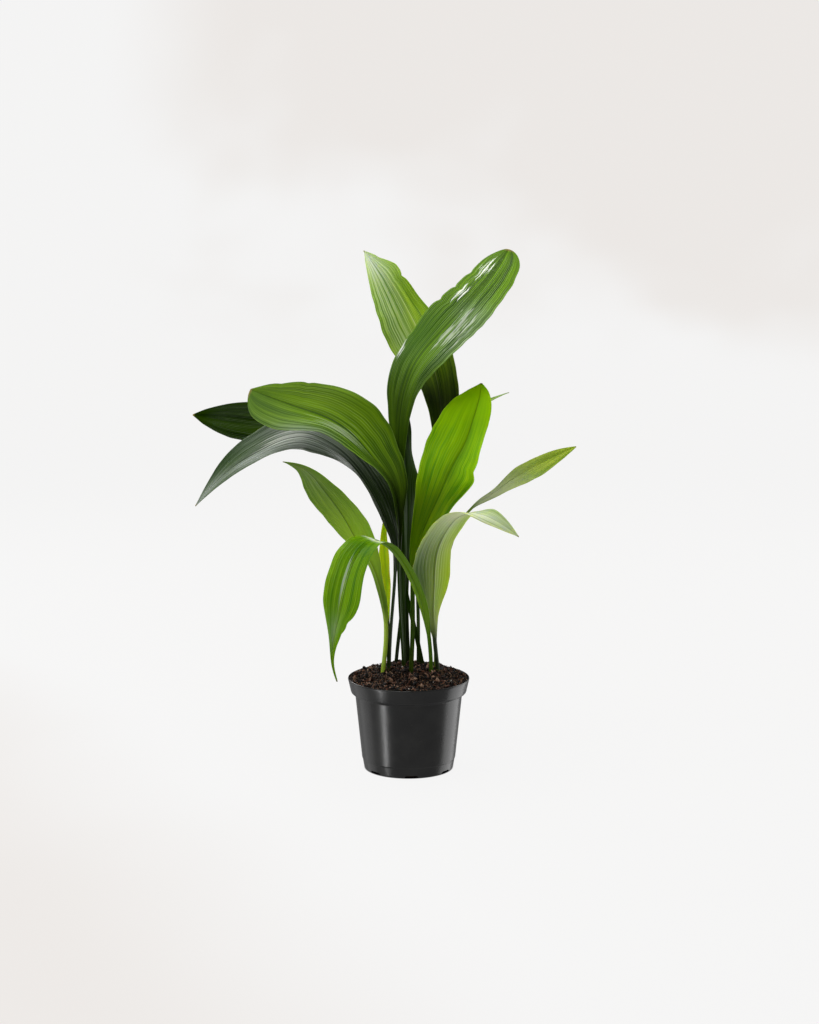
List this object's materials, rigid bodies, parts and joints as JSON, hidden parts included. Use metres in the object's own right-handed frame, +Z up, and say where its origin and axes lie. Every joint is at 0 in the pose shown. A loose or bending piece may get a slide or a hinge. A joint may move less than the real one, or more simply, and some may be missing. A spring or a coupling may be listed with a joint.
{
  "type": "potted cast iron plant",
  "caption": "Cast iron plant with long arching leaves on thin stalks, growing from soil in a round black nursery pot with a tall collar and drain slots.",
  "frame": {"origin": "centre of the flat underside of the pot, where the part rests", "axes": "+Z up along the pot's axis, -Y towards the front of the plant, +X to the right as seen from the front"},
  "size_m": [0.4873, 0.3969, 0.6354],
  "materials": {
    "pot_plastic": "black semi-gloss moulded plastic with a soft sheen and fine scuffs",
    "potting_soil": "dark moist peat and bark with pale specks of perlite",
    "leaf_dark": "glossy very dark green, leathery, with fine lengthwise veins",
    "leaf_green": "glossy mid green with fine lengthwise veins and pale sheen",
    "leaf_light": "bright yellow-green young leaf, slightly translucent"
  },
  "bodies": {
    "root": {"pot": "pot_plastic", "soil": "potting_soil", "leaf_top_right": "leaf_green", "leaf_top_left": "leaf_green", "leaf_centre": "leaf_dark", "leaf_bright": "leaf_light", "leaf_arch_left": "leaf_green", "leaf_back_left": "leaf_dark", "leaf_low_left": "leaf_dark", "leaf_side_left": "leaf_green", "leaf_front_left": "leaf_green", "leaf_front_right": "leaf_light", "leaf_far_right": "leaf_light", "leaf_young": "leaf_light", "leaf_back_right": "leaf_green"}
  },
  "joints": []
}
